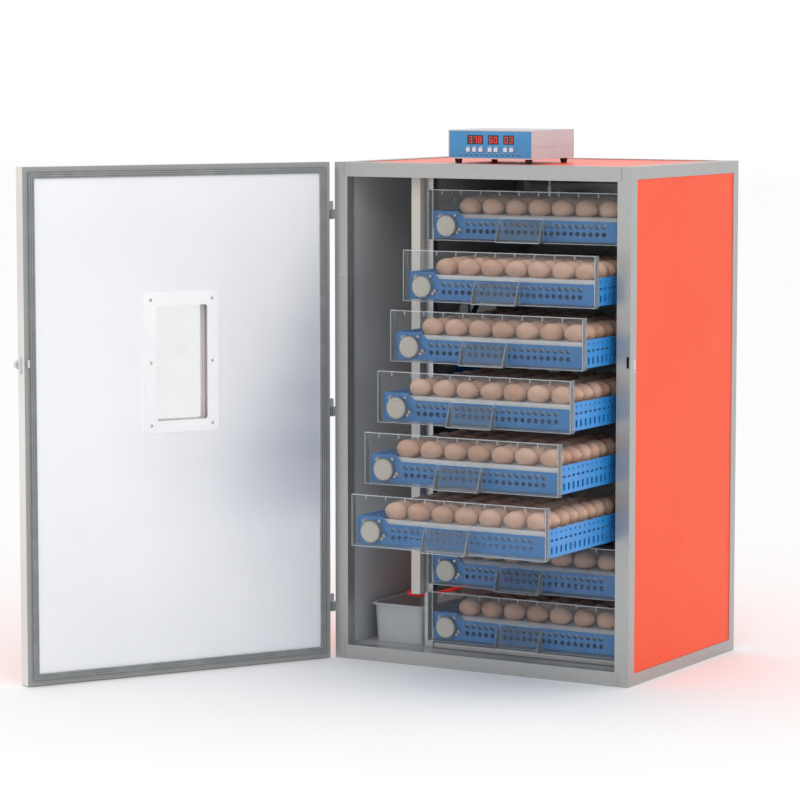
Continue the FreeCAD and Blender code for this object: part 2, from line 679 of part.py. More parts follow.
duct_low = "duct_foot"
duct_tall = "case_height - panel_recess - panel_thick - duct_foot"
bar_outer = block(["duct_face", back("duct_front"), duct_low],
                  ["duct_wide", "duct_deep", duct_tall])
bar_inner = block(["duct_face + 2", back("duct_front + 2"), duct_low + " - 1"],
                  ["duct_wide - 4", "duct_deep - 4", duct_tall + " + 2"])
sheet_left = "duct_face + duct_wide - duct_sheet"
rear_face = "case_depth - panel_recess - panel_thick"
duct_plate = block([sheet_left, back("duct_front + duct_deep - 1"), duct_low],
                   ["duct_sheet", rear_face + " - duct_front - duct_deep + 1", duct_tall])
duct_flange = block(["duct_face", back(rear_face + " - duct_sheet"), duct_low],
                    ["duct_wide", "duct_sheet", duct_tall])
fan_hole = rod([sheet_left + " - 1", back("fan_along"), "fan_up"], "fan_opening",
               "duct_sheet + 2", "x")
air_slots = []
for up in ("250", "330", "410", "1000", "1060"):
    for depth in ("120", "240", "360"):
        air_slots.append(block([sheet_left + " - 1", back(depth), up],
                               ["duct_sheet + 2", "80", "14"]))
duct_tube = cut(bar_outer, [bar_inner], "duct_tube")
keep(cut(fuse([duct_tube, duct_plate, duct_flange], "duct_solid"), [fan_hole] + air_slots,
         "duct"), "duct_partition")

# Fan motor on a four-legged stand at the duct side of the opening.
stand = [rod(["duct_face - 66", back("fan_along"), "fan_up"], "38", "48", "x")]
for turn in range(4):
    angle = 45 + 90 * turn
    arm_out = "(fan_opening + 6) * sin(%d * 1deg)" % angle
    arm_up = "(fan_opening + 6) * cos(%d * 1deg)" % angle
    arm = doc.addObject("Part::Box", "arm")
    bind(arm, Length="4", Width="14", Height="fan_opening + 10")
    turned = FreeCAD.Rotation(FreeCAD.Vector(1, 0, 0), -angle)
    place(arm, ["duct_face - 22",
                back("fan_along") + " - 7 * cos(%d * 1deg)" % angle,
                "fan_up + 7 * sin(%d * 1deg)" % angle], turned)
    stand.append(arm)
    leg = rod(["duct_face - 22", back("fan_along") + " + " + arm_out,
               "fan_up + " + arm_up], "5", "22 + duct_wide - duct_sheet", "x")
    stand.append(leg)
keep(fuse(stand, "stand"), "fan_motor")


def fan():
    """Hub with twisted blades, each swept from a flat section."""
    hub = rod(["duct_face - 14", back("fan_along"), "fan_up"], "hub_radius", "30", "x")
    shaft = rod(["duct_face - 17.7", back("fan_along"), "fan_up"], "4", "6", "x")
    pieces = [hub, shaft]
    count = int(size("blade_count"))
    for i in range(count):
        angle = 360.0 * i / count
        blade = doc.addObject("Part::Box", "blade")
        bind(blade, Length="2", Width="62", Height="fan_radius - hub_radius + 4")
        pitch = FreeCAD.Rotation(FreeCAD.Vector(0, 0, 1), 25)
        around = FreeCAD.Rotation(FreeCAD.Vector(1, 0, 0), angle)
        turned = around.multiply(pitch)
        middle = FreeCAD.Vector(-1, -31, 0)
        shift = turned.multVec(middle)
        reach = around.multVec(FreeCAD.Vector(0, 0, size("hub_radius") - 4))
        blade.Placement = FreeCAD.Placement(FreeCAD.Vector(), turned)
        bind(blade, **{
            ".Placement.Base.x": "duct_face + 1 + %.6f" % (shift.x + reach.x),
            ".Placement.Base.y": back("fan_along") + " + %.6f" % (shift.y + reach.y),
            ".Placement.Base.z": "fan_up + %.6f" % (shift.z + reach.z)})
        pieces.append(blade)
    return fuse(pieces, "fan")


keep(fan(), "fan_impeller")


# ---- heating tube, water basin and sensor ----

legs = []
for across in ("heater_left", "heater_left + heater_gap"):
    legs.append(rod([across, back("heater_front"), "heater_up"], "heater_radius",
                    "heater_end - heater_front + 2", "y"))
bend = doc.addObject("Part::Torus", "bend")
bind(bend, Radius1="heater_gap / 2", Radius2="heater_radius")
bend.Angle3 = 180
place(bend, ["heater_left + heater_gap / 2", back("heater_front"), "heater_up"],
      FreeCAD.Rotation(FreeCAD.Vector(0, 0, 1), 180))
flange = block(["heater_left - 18", back("heater_end"), "heater_up - 16"],
               ["heater_gap + 36", rear_face + " - heater_end", "32"])
keep(fuse(legs + [bend, flange], "heater"), "heating_tube")

basin = new_body("water_basin", ["basin_left", back("basin_front"), "beam_face + 0.4"])
shrink = "basin_rim + basin_draft"
foot = rounded(sketch_on(basin, "XY_Plane"), shrink, shrink,
               "basin_wide - 2 * (%s)" % shrink, "basin_deep - 2 * (%s)" % shrink, "12")
mouth = rounded(sketch_on(basin, "XY_Plane", "basin_tall"), "basin_rim", "basin_rim",
                "basin_wide - 2 * basin_rim", "basin_deep - 2 * basin_rim", "16")
tub = basin.newObject("PartDesign::AdditiveLoft", "tub")
tub.Profile = foot
tub.Sections = [mouth]
tub.Ruled = True
basin.Tip = tub
rim = rounded(sketch_on(basin, "XY_Plane", "basin_tall - 4"), "0", "0", "basin_wide",
              "basin_deep", "20")
pad(basin, rim, "4")
low_in = "basin_rim + basin_draft + basin_wall"
water_floor = rounded(sketch_on(basin, "XY_Plane", "basin_wall"), low_in, low_in,
                      "basin_wide - 2 * (%s)" % low_in, "basin_deep - 2 * (%s)" % low_in,
                      "10")
high_in = "basin_rim + basin_wall"
water_top = rounded(sketch_on(basin, "XY_Plane", "basin_tall + 0.5"), high_in, high_in,
                    "basin_wide - 2 * (%s)" % high_in, "basin_deep - 2 * (%s)" % high_in,
                    "14")
scoop = basin.newObject("PartDesign::SubtractiveLoft", "scoop")
scoop.Profile = water_floor
scoop.Sections = [water_top]
scoop.Ruled = True
basin.Tip = scoop

ceiling = "case_height - panel_recess - panel_thick"
stem = rod(["probe_across", back("probe_front"), "probe_low + 22"], "2.5",
           ceiling + " - probe_low - 22")
tip = cone(["probe_across", back("probe_front"), "probe_low"], "3.4", "5.2", "24")
base = rod(["probe_across", back("probe_front"), ceiling + " - 3"], "9", "3")
keep(fuse([stem, tip, base], "probe"), "sensor_probe")


# ---- controller on the roof ----

box_low = "case_height + foot_tall"
shell = block(["box_left", back("box_front"), box_low], ["box_wide", "box_deep", "box_tall"])
hollow = block(["box_left + box_wall", back("box_front - 1"), box_low + " + box_wall"],
               ["box_wide - 2 * box_wall", "box_deep - box_wall + 1",
                "box_tall - 2 * box_wall"])
seams = []
for across in ("box_left - 1", "box_left + box_wide - 0.8"):
    seams.append(block([across, back("box_front - 1"), box_low + " + 0.42 * box_tall"],
                       ["1.8", "box_deep + 2", "1.2"]))
keep(cut(shell, [hollow] + seams, "case"), "controller_case")

# Button places, measured across the fascia from its left edge.
BUTTONS = ["49", "65.5", "82", "106", "121.5", "146", "162"]

fascia = new_body("controller_panel",
                  ["box_left + box_wall + 0.1", back("box_front + fascia_recess"),
                   box_low + " + box_wall + 0.1"])
fascia_wide = "box_wide - 2 * box_wall - 0.2"
fascia_tall = "box_tall - 2 * box_wall - 0.2"
face = rectangle(sketch_on(fascia, "XZ_Plane"), "0", "0", fascia_wide, fascia_tall)
pad(fascia, face, "fascia_thick")
side = "button_side + 2 * button_gap"
keys = sketch_on(fascia, "XZ_Plane", "1")
for across in BUTTONS:
    rectangle(keys, "%s - (%s) / 2" % (across, side), "button_up - (%s) / 2" % side,
              side, side)
pocket(fascia, keys)
displays = sketch_on(fascia, "XZ_Plane", "1")
for across, wide in (("46", "42"), ("100", "28"), ("140", "28")):
    rectangle(displays, across, "30", wide, "22")
pocket(fascia, displays, "1.8")


def button(number, across):
    """Square key cap with a thin flange that keeps it behind the fascia."""
    body = new_body("button_%d" % number,
                    ["box_left + box_wall + 0.1 + " + across,
                     back("box_front + fascia_recess - button_out"),
                     box_low + " + box_wall + 0.1 + button_up"])
    cap = rectangle(sketch_on(body, "XZ_Plane"), "-button_side / 2", "-button_side / 2",
                    "button_side", "button_side")
    pad(body, cap, "button_out + fascia_thick + 2")
    skirt = rectangle(sketch_on(body, "XZ_Plane", "-(button_out + fascia_thick + 0.4)"),
                      "-button_side / 2 - 1.6", "-button_side / 2 - 1.6",
                      "button_side + 3.2", "button_side + 3.2")
    pad(body, skirt, "1.6")
    return body


for number, across in enumerate(BUTTONS, start=1):
    button(number, across)

feet = []
for across in ("box_left + 18", "box_left + box_wide - 18"):
    for depth in ("box_front + 16", "box_front + box_deep - 16"):
        feet.append(cone([across, back(depth), "case_height - panel_recess"], "foot_radius - 2",
                         "foot_radius", "foot_tall + panel_recess"))
feet_group = doc.addObject("Part::Compound", "feet")
feet_group.Links = feet
keep(feet_group, "controller_feet")


# ---- check and write ----

doc.recompute()
for item in doc.Objects:
    if "Invalid" in item.State or "Error" in item.State:
        raise RuntimeError("%s (%s) failed: %s" % (item.Label, item.Name, item.State))
for item in doc.Objects:
    if item.TypeId == "PartDesign::Pocket":
        if item.Shape.Volume > item.BaseFeature.Shape.Volume - 0.01:
            raise RuntimeError("%s cuts nothing" % item.Name)
for item in parts:
    if item.Shape.isNull() or not item.Shape.isValid():
        raise RuntimeError("%s has a bad shape" % item.Label)

os.makedirs("parts", exist_ok=True)
for item in parts:
    item.Shape.exportStep("parts/%s.step" % item.Label)
    print("%-22s %10.1f mm3 %2d solids" % (item.Label, item.Shape.Volume,
                                           len(item.Shape.Solids)))
print(len(parts), "sub-parts")
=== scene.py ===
import bmesh
import bpy
import json
import math
import random
from mathutils import Matrix, Vector


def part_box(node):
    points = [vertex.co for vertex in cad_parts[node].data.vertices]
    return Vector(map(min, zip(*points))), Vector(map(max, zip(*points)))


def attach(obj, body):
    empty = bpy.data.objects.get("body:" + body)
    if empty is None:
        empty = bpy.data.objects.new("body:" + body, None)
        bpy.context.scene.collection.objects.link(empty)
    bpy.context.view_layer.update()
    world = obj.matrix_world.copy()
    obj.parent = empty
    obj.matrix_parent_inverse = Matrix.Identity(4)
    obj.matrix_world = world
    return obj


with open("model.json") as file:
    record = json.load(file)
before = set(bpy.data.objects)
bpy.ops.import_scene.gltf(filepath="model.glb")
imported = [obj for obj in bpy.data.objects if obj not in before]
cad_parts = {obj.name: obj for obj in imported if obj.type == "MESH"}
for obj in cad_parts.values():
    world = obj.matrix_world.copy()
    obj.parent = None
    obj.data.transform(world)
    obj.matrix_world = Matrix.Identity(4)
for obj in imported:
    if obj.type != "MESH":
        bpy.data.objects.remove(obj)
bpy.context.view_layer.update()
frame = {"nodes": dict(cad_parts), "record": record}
record = frame["record"]
JOINTS = {joint["name"]: joint for joint in record["behaviour"]["joints"]}
hinge = JOINTS["door_hinge"]
open_turn = math.radians(hinge["range_deg"][0])
# The door's own frame: X along the leaf from the pins, Y inwards, Z up.
DOOR = Matrix.Translation((hinge["pos_m"][0], hinge["pos_m"][1], 0)) @ Matrix.Rotation(
    open_turn, 4, "Z")
TRAYS = range(1, 9)


# ---- materials ----

def shade(red, green, blue):
    """A colour from 0 to 255 as the eye sees it, turned into light values."""
    light = []
    for part in (red, green, blue):
        part = part / 255
        light.append(part / 12.92 if part <= 0.04045 else ((part + 0.055) / 1.055) ** 2.4)
    return (*light, 1.0)


class Value:
    """A socket that plain arithmetic combines into more nodes."""

    def __init__(self, paint, socket):
        self.paint, self.socket = paint, socket

    def __add__(self, other):
        return self.paint.maths("ADD", self, other)

    def __radd__(self, other):
        return self.paint.maths("ADD", other, self)

    def __sub__(self, other):
        return self.paint.maths("SUBTRACT", self, other)

    def __rsub__(self, other):
        return self.paint.maths("SUBTRACT", other, self)

    def __mul__(self, other):
        return self.paint.maths("MULTIPLY", self, other)

    def __rmul__(self, other):
        return self.paint.maths("MULTIPLY", other, self)

    def __truediv__(self, other):
        return self.paint.maths("DIVIDE", self, other)

    def __rtruediv__(self, other):
        return self.paint.maths("DIVIDE", other, self)

    def __abs__(self):
        return self.paint.maths("ABSOLUTE", self)

    def remainder(self, step):
        """What is left over after taking away whole steps."""
        return self.paint.maths("FRACT", self / step) * step

    def over(self, limit):
        return self.paint.maths("GREATER_THAN", self, limit)

    def under(self, limit):
        return self.paint.maths("LESS_THAN", self, limit)

    def ramp(self, start, end, low=0.0, high=1.0):
        """Low up to start, high from end, and smooth between them."""
        inputs = {"Value": self, "From Min": start, "From Max": end,
                  "To Min": low, "To Max": high}
        settings = {"interpolation_type": "SMOOTHSTEP"}
        return Value(self.paint, self.paint.node("MapRange", settings, inputs).outputs[0])


class Paint:
    """A node material under construction."""

    def __init__(self, name, **uniform):
        self.material = bpy.data.materials.new(name)
        self.material.use_nodes = True
        self.tree = self.material.node_tree
        self.shader = self.tree.nodes["Principled BSDF"]
        for words, value in uniform.items():
            socket = words.replace("_", " ").title().replace("Ior", "IOR")
            self.shader.inputs[socket].default_value = value
        self.place = Value(self, self.node("TexCoord").outputs["Object"])

    def node(self, kind, settings=None, inputs=None):
        item = self.tree.nodes.new("ShaderNode" + kind)
        for key, value in (settings or {}).items():
            setattr(item, key, value)
        for key, value in (inputs or {}).items():
            self.feed(item.inputs[key], value)
        return item

    def feed(self, socket, value):
        if isinstance(value, Value):
            self.tree.links.new(value.socket, socket)
        else:
            socket.default_value = value

    def maths(self, operation, *values):
        node = self.node("Math", {"operation": operation}, dict(enumerate(values)))
        return Value(self, node.outputs[0])

    def mix(self, factor, first, second):
        """A colour between two others."""
        node = self.node("Mix", {"data_type": "RGBA"}, {0: factor, 6: first, 7: second})
        return Value(self, node.outputs[2])

    def turn_into(self, corner, turn):
        """Measure the pattern's place from a corner, in a frame turned about Z."""
        node = self.node("Mapping", {"vector_type": "TEXTURE"},
                         {"Vector": self.place, "Location": corner, "Rotation": turn})
        self.place = Value(self, node.outputs[0])

    def along(self):
        node = self.node("SeparateXYZ", None, {0: self.place})
        return [Value(self, out) for out in node.outputs]

    def normals(self):
        node = self.node("NewGeometry")
        parts = self.node("SeparateXYZ", None, {0: Value(self, node.outputs["Normal"])})
        return [abs(Value(self, out)) for out in parts.outputs]

    def noise(self, scale, detail=3.0, stretch=(1, 1, 1)):
        place = self.node("Mapping", None, {"Vector": self.place, "Scale": stretch})
        inputs = {"Vector": Value(self, place.outputs[0]), "Scale": scale, "Detail": detail}
        return Value(self, self.node("TexNoise", None, inputs).outputs[0])

    def cells(self, scale):
        inputs = {"Vector": self.place, "Scale": scale}
        return Value(self, self.node("TexVoronoi", None, inputs).outputs["Distance"])

    def feature(self, name):
        return Value(self, self.node("Attribute", {"attribute_name": name}).outputs["Fac"])

    def finish(self, colour, roughness, height=None, deep=0.0005, **others):
        """Feed the shader and hand back the material."""
        self.feed(self.shader.inputs["Base Color"], colour)
        self.feed(self.shader.inputs["Roughness"], roughness)
        for words, value in others.items():
            self.feed(self.shader.inputs[words.replace("_", " ").title()], value)
        if height is not None:
            bump = self.node("Bump", None, {"Height": height, "Distance": deep})
            self.feed(self.shader.inputs["Normal"], Value(self, bump.outputs[0]))
        return self.material


def painted_skin(name, colour, worn, rough=0.3, lining=None):
    """Glossy coil-coated sheet: faint orange peel, cloudy gloss and light dust.

    With a lining, only the cabinet's outer faces have the colour.
    """
    paint = Paint(name, specular_ior_level=0.2)
    cloud = paint.noise(3.2, 4)
    peel = paint.noise(420, 2)
    dust = paint.noise(46, 6).ramp(0.55, 0.8)
    tone = paint.mix(cloud.ramp(0.3, 0.75, 0.0, 0.35) + dust * 0.12, colour, worn)
    if lining is not None:
        _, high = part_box("cabinet_frame")
        across, depth, up = paint.along()
        outer = paint.maths("MAXIMUM", abs(across) - high[0], up - high[2])
        outer = paint.maths("MAXIMUM", outer, depth - high[1]).over(-0.0035)
        tone = paint.mix(outer, paint.mix(cloud.ramp(0.3, 0.75), lining, shade(170, 171, 173)),
                         tone)
    return paint.finish(tone, cloud * 0.16 + dust * 0.1 + (rough - 0.06), peel, 0.00006)


def bare_metal(name, colour, dark, rough, metal=1.0, grain=(1, 1, 90), scale=14):
    """Brushed metal with streaks along its grain and darker marks."""
    paint = Paint(name)
    streak = paint.noise(scale, 5, grain)
    mark = paint.noise(9, 6).ramp(0.5, 0.75)
    tone = paint.mix(streak.ramp(0.3, 0.75, 0.0, 0.6) + mark * 0.25, colour, dark)
    return paint.finish(tone, streak * 0.16 + mark * 0.1 + (rough - 0.08), streak, 0.00004,
                        Metallic=metal - mark * 0.1)


def moulded(name, colour, dark, rough=0.42, grain=900, coat=0.0):
    """Moulded plastic: fine texture, soft colour drift and handling marks."""
    paint = Paint(name, coat_weight=coat, coat_roughness=0.15)
    drift = paint.noise(11, 3)
    fine = paint.noise(grain, 2)
    rubbed = paint.noise(60, 6).ramp(0.5, 0.8)
    tone = paint.mix(drift.ramp(0.3, 0.75, 0.0, 0.5) + rubbed * 0.12, colour, dark)
    return paint.finish(tone, drift * 0.12 + fine * 0.08 + (rough - 0.1), fine, 0.00005)


KEEPER = (-0.258, 0.722)    # where the keeper plate sits on the right post: depth and height
KEEPER_ROUND = 0.007        # radius of its rounded ends
KEEPER_HALF = 0.012         # from its middle to the centre of each end, and to each screw
KEEPER_SCREW = 0.0024       # radius of a screw's head


def frame_profile():
    """Satin grey profile: corner hairlines, painted shade down its left edge by the open door, and
    the keeper plate.
    """
    paint = Paint("frame_profile", specular_ior_level=0.5)
    across, depth, up = paint.along()
    low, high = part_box("cabinet_frame")
    wide, tall = -low[0], high[2] - low[2]
    streak = paint.noise(10, 4, (6, 6, 60))
    cloud = paint.noise(5, 4)
    post = 0.034
    side = abs(abs(across) - (wide - post)).under(0.00045)
    outer_up = abs(up - tall / 2).over(tall / 2 - 0.033)
    line = side * outer_up
    grime = paint.noise(30, 6).ramp(0.55, 0.8)
    tone = paint.mix(streak.ramp(0.3, 0.7, 0.0, 0.3) + grime * 0.12,
                     shade(178, 178, 176), shade(156, 157, 157))
    tone = paint.mix(line * 0.8, tone, shade(70, 70, 72))
    # Painted shade: the frame's outer left edge, full height, darkened as if shaded by the open
    # door.
    tone = paint.mix(across.under(-0.3827) * 0.7, tone, shade(84, 85, 87))
    keeper_depth, keeper_up = KEEPER
    outer = across.over(high[0] - 0.0004)
    beside = abs(depth - keeper_depth)
    above = abs(up - keeper_up)
    end = paint.maths("MAXIMUM", above - KEEPER_HALF, 0.0)
    reach = paint.maths("SQRT", beside * beside + end * end)
    screw_up = above - KEEPER_HALF
    screw_reach = paint.maths("SQRT", beside * beside + screw_up * screw_up)
    plate_rim = abs(reach - KEEPER_ROUND).under(0.0005) * outer
    plate_face = reach.under(KEEPER_ROUND) * outer
    head = screw_reach.under(KEEPER_SCREW) * outer
    tone = paint.mix(plate_face, tone, shade(206, 206, 205))
    tone = paint.mix(plate_rim * 0.8, tone, shade(88, 88, 90))
    tone = paint.mix(head * 0.75, tone, shade(64, 64, 66))
    return paint.finish(tone, cloud * 0.12 + streak * 0.05 + 0.22,
                        streak * 0.6 - line * 0.8 + plate_face * 0.8 - plate_rim, 0.00006,
                        Metallic=0.6 - grime * 0.1)


# The door leaf in its own frame: left edge, lowest edge, width and height.
LEAF_LEFT, LEAF_LOW, LEAF_WIDE, LEAF_TALL = 0.0055, 0.002, 0.764, 1.158


def from_leaf_edge(paint, across, up):
    """How far a point of the door lies in from the leaf's nearest edge."""
    return paint.maths("MINIMUM", LEAF_WIDE / 2 - abs(across - (LEAF_LEFT + LEAF_WIDE / 2)),
                       LEAF_TALL / 2 - abs(up - (LEAF_LOW + LEAF_TALL / 2)))


def door_skins():
    """Door leaf: grey edge profile, white inner skin and painted outer skin."""
    paint = Paint("door_skins", coat_weight=0.12, coat_roughness=0.3)
    paint.turn_into(DOOR.to_translation(), (0, 0, open_turn))
    across, depth, up = paint.along()
    from_edge = from_leaf_edge(paint, across, up)
    skin_starts = 0.0235
    inside = from_edge.over(skin_starts)
    inner_face = depth.over(0.0015)
    outer_face = depth.under(-0.0335)
    hairline = abs(from_edge - skin_starts).under(0.0006)
    cloud = paint.noise(2.6, 4)
    rub = paint.noise(38, 6).ramp(0.5, 0.85)
    edge = paint.mix(cloud.ramp(0.3, 0.7), shade(232, 226, 222), shade(214, 208, 203))
    white = paint.mix(cloud.ramp(0.25, 0.75) * 0.5 + rub * 0.08, shade(246, 247, 250),
                      shade(232, 234, 238))
    orange = paint.mix(cloud.ramp(0.3, 0.75) * 0.3, shade(244, 78, 44), shade(232, 66, 36))
    ring = from_edge.under(0.0125) * inner_face
    tone = paint.mix(inside * inner_face, edge, white)
    tone = paint.mix(ring, tone, paint.mix(cloud, shade(158, 158, 157), shade(142, 143, 143)))
    tone = paint.mix(inside * outer_face, tone, orange)
    tone = paint.mix(hairline * 0.7, tone, shade(90, 90, 92))
    peel = paint.noise(300, 2)
    return paint.finish(tone, cloud * 0.12 + rub * 0.08 + 0.36, peel - hairline * 2.0, 0.00006,
                        Metallic=inside * inner_face * 0.5)


def seal_rubber():
    """Ribbed foam rubber with mitred corners: rib crests painted lighter and grooves darker, as
    painted highlight and shade, under patchy pale dust.
    """
    paint = Paint("gasket_rubber", specular_ior_level=0.35)
    paint.turn_into(DOOR.to_translation(), (0, 0, open_turn))
    across, _, up = paint.along()
    from_edge = from_leaf_edge(paint, across, up)
    rib_pitch = 0.0047
    rib_height_and_highlight = paint.maths("SINE", from_edge * (2 * math.pi / rib_pitch)) * 0.5 + 0.5
    dust = paint.noise(24, 6)
    # Painted highlight and shade: lighter on the rib crests, darker in the grooves; the noise adds
    # pale dust.
    tone = paint.mix(rib_height_and_highlight * 0.7 + dust.ramp(0.4, 0.8, 0.0, 0.3), shade(114, 117, 119),
                     shade(164, 166, 167))
    return paint.finish(tone, dust * 0.2 + 0.55, rib_height_and_highlight, 0.0012)


def clear_sheet(name, tint, body, gloss=0.8, rough=0.03, outline=None):
    """Clear sheet: nearly invisible flat on, with painted highlights along its edges and outlines.
    """
    paint = Paint(name, ior=1.49, specular_ior_level=0.6)
    across, depth, up = paint.normals()
    smear = paint.noise(16, 5)
    smudge = smear.ramp(0.5, 0.8)
    rim = paint.node("Fresnel", None, {"IOR": 1.45})
    # Painted highlight: faces turned up or down, and less so faces turned sideways, get paler and
    # more opaque, as lit edges would; outlines add painted lit lines.
    edge = up.ramp(0.5, 0.95) * 0.32 + across.ramp(0.6, 0.98) * 0.1
    if outline is not None:
        edge = paint.maths("MAXIMUM", edge, outline(paint) * abs(depth).over(0.5) * 0.3)
    tone = paint.mix(edge.ramp(0.08, 0.3), shade(150, 156, 160), tint)
    return paint.finish(tone, smudge * 0.1 + rough, smear, 0.00015,
                        Alpha=edge + Value(paint, rim.outputs[0]) * gloss + smudge * 0.02 + body)


def cover_outline(paint):
    """Lit lines of a tray cover: its four sides, its ribs and its finger pull."""
    across, _, up = paint.along()
    left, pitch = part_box("tray_8_front")[0], 0.1328
    local = (up - left[2]).remainder(pitch)
    beside = across - left[0]
    line = 0.0013

    def any_of(first, *rest):
        for other in rest:
            first = paint.maths("MAXIMUM", first, other)
        return first

    def near(value, target, width=line):
        return abs(value - target).under(width)

    rib = near((beside - 0.036).remainder(0.05), 0.0008, 0.0009) * near(local, 0.1105, 0.0052)
    pull = abs(beside - 0.244)
    pull_side = near(pull, 0.0555, 0.0011) * local.under(0.0565)
    pull_top = pull.under(0.056) * near(local, 0.0555, 0.0011)
    return any_of(near(local, 0.1155), local.under(0.0014), near(beside, 0.0006),
                  near(beside, 0.4874), rib, pull_side * 0.8, pull_top * 0.8)


def shell_of_egg():
    """Brown hen's egg: each its own shade, speckled, with a fine matt grain."""
    paint = Paint("egg_shell", subsurface_weight=0.06, subsurface_scale=0.004,
                  specular_ior_level=0.3)
    tone = paint.feature("tone")
    speckle = paint.cells(260).ramp(0.06, 0.2, 1.0, 0.0) * paint.noise(30, 3).ramp(0.5, 0.7)
    cloud = paint.noise(38, 3)
    body = paint.mix(tone, shade(222, 182, 158), shade(203, 156, 130))
    body = paint.mix(cloud.ramp(0.35, 0.7, 0.0, 0.35), body, shade(232, 200, 180))
    body = paint.mix(speckle * 0.35, body, shade(158, 106, 80))
    return paint.finish(body, cloud * 0.15 + 0.42, paint.noise(700, 2), 0.00008)


def hot_tube():
    """Heating tube: oxidised steel that glows a dull red."""
    paint = Paint("heater_glow", emission_strength=0.35)
    patch = paint.noise(34, 5)
    tone = paint.mix(patch, shade(150, 70, 62), shade(92, 58, 54))
    glow = paint.mix(patch.ramp(0.3, 0.7), shade(255, 70, 60), shade(190, 24, 20))
    return paint.finish(tone, patch * 0.2 + 0.4, patch, 0.0001, Metallic=0.5,
                        Emission_Color=glow)


def glowing(name, colour, strength):
    """A lit display segment, a little uneven like a real lamp."""
    paint = Paint(name, emission_strength=strength)
    uneven = paint.noise(500, 2)
    lit = paint.mix(uneven * 0.4, colour, shade(120, 0, 0))
    return paint.finish(lit, uneven * 0.2 + 0.3, Emission_Color=lit)


def dark_window():
    """Smoked display window with faint smudges."""
    paint = Paint("display_window", coat_weight=0.5, coat_roughness=0.05)
    smear = paint.noise(120, 5)
    tone = paint.mix(smear, shade(30, 10, 12), shade(44, 14, 16))
    return paint.finish(tone, smear * 0.2 + 0.1, smear, 0.00003)


WHITE_FINISH = moulded("white_plastic", shade(248, 248, 250), shade(236, 236, 240), 0.4)
SCREW_METAL = bare_metal("screw_metal", shade(206, 206, 206), shade(150, 150, 152), 0.24)
FINISHES = {
    "frame_profile": frame_profile(),
    "orange_skin": painted_skin("orange_skin", shade(250, 88, 50), shade(243, 80, 44),
                                lining=shade(194, 195, 197)),
    "grey_skin": painted_skin("grey_skin", shade(188, 188, 190), shade(164, 164, 167), 0.38),
    "door_skin": door_skins(),
    "gasket_rubber": seal_rubber(),
    "white_plastic": WHITE_FINISH,
    "window_glass": clear_sheet("window_glass", shade(236, 242, 240), 0.0, 0.3),
    "bright_metal": bare_metal("bright_metal", shade(222, 222, 222), shade(170, 170, 172),
                               0.16, grain=(4, 4, 4), scale=60),
    "rack_steel": bare_metal("rack_steel", shade(190, 190, 190), shade(140, 140, 142), 0.32),
    "duct_sheet": painted_skin("duct_sheet", shade(206, 199, 192), shade(186, 180, 174), 0.42),
    "fan_motor_black": moulded("fan_motor_black", shade(38, 38, 42), shade(24, 24, 26), 0.5),
    "fan_blue": moulded("fan_blue", shade(40, 104, 168), shade(28, 78, 134), 0.3, coat=0.3),
    "heater_glow": hot_tube(),
    "basin_plastic": moulded("basin_plastic", shade(186, 189, 192), shade(160, 163, 167), 0.34,
                             coat=0.2),
    "probe_grey": moulded("probe_grey", shade(150, 152, 154), shade(120, 122, 125), 0.4),
    "controller_shell": moulded("controller_shell", shade(208, 208, 212), shade(192, 192, 197),
                                0.5, 1400),
    "controller_blue": moulded("controller_blue", shade(66, 150, 206), shade(52, 130, 188), 0.38,
                               coat=0.2),
    "foot_rubber": moulded("foot_rubber", shade(34, 34, 36), shade(54, 54, 56), 0.7, 500),
    "key_white": moulded("key_white", shade(228, 232, 238), shade(204, 210, 220), 0.32, coat=0.3),
    "tray_blue": moulded("tray_blue", shade(46, 142, 216), shade(34, 122, 198), 0.36, 700,
                         coat=0.15),
    "clear_acrylic": clear_sheet("clear_acrylic", shade(226, 234, 240), 0.06,
                                 outline=cover_outline),
    "motor_can": bare_metal("motor_can", shade(196, 192, 186), shade(150, 146, 140), 0.3, 0.9,
                            (20, 1, 20), 30),
    "roller_white": moulded("roller_white", shade(226, 230, 233), shade(200, 206, 211), 0.36,
                            coat=0.15),
}
CAP_FINISH = painted_skin("motor_cap", shade(240, 233, 222), shade(222, 214, 203), 0.36)
EGG_FINISH = shell_of_egg()
DISPLAY_FINISH = dark_window()
DIGIT_FINISH = glowing("lit_digits", shade(226, 48, 42), 0.8)
LAMP_FINISH = moulded("indicator_lamps", shade(32, 58, 84), shade(20, 40, 62), 0.25, coat=0.5)
MARK_FINISH = moulded("printed_marks", shade(220, 232, 240), shade(190, 206, 220), 0.5)

for entry in record["subparts"]:
    thing = frame["nodes"][entry["node"]]
    for place in thing.material_slots:
        place.material = FINISHES[entry["material_slot"]]


# ---- mesh tools ----

def piece(name, bm, body, finish, turned=None, smooth=math.radians(35)):
    """Turn a built mesh into a named piece that rides on a body."""
    if turned is not None:
        bm.transform(turned)
    bmesh.ops.recalc_face_normals(bm, faces=bm.faces)
    mesh = bpy.data.meshes.new(name)
    bm.to_mesh(mesh)
    bm.free()
    mesh.materials.append(finish)
    mesh.shade_smooth()
    mesh.set_sharp_from_angle(angle=smooth)
    thing = bpy.data.objects.new(name, mesh)
    bpy.context.scene.collection.objects.link(thing)
    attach(thing, body)
    return thing


def slab(bm, low, high, soft=0.0):
    """A box between two corners, with its edges softened."""
    sides = [high[i] - low[i] for i in range(3)]
    centre = [(high[i] + low[i]) / 2 for i in range(3)]
    made = bmesh.ops.create_cube(bm, size=1.0, matrix=Matrix.Translation(centre)
                                 @ Matrix.Diagonal((*sides, 1.0)))
    if soft:
        edges = {edge for vert in made["verts"] for edge in vert.link_edges}
        bmesh.ops.bevel(bm, geom=list(edges), offset=soft, segments=2, affect="EDGES")


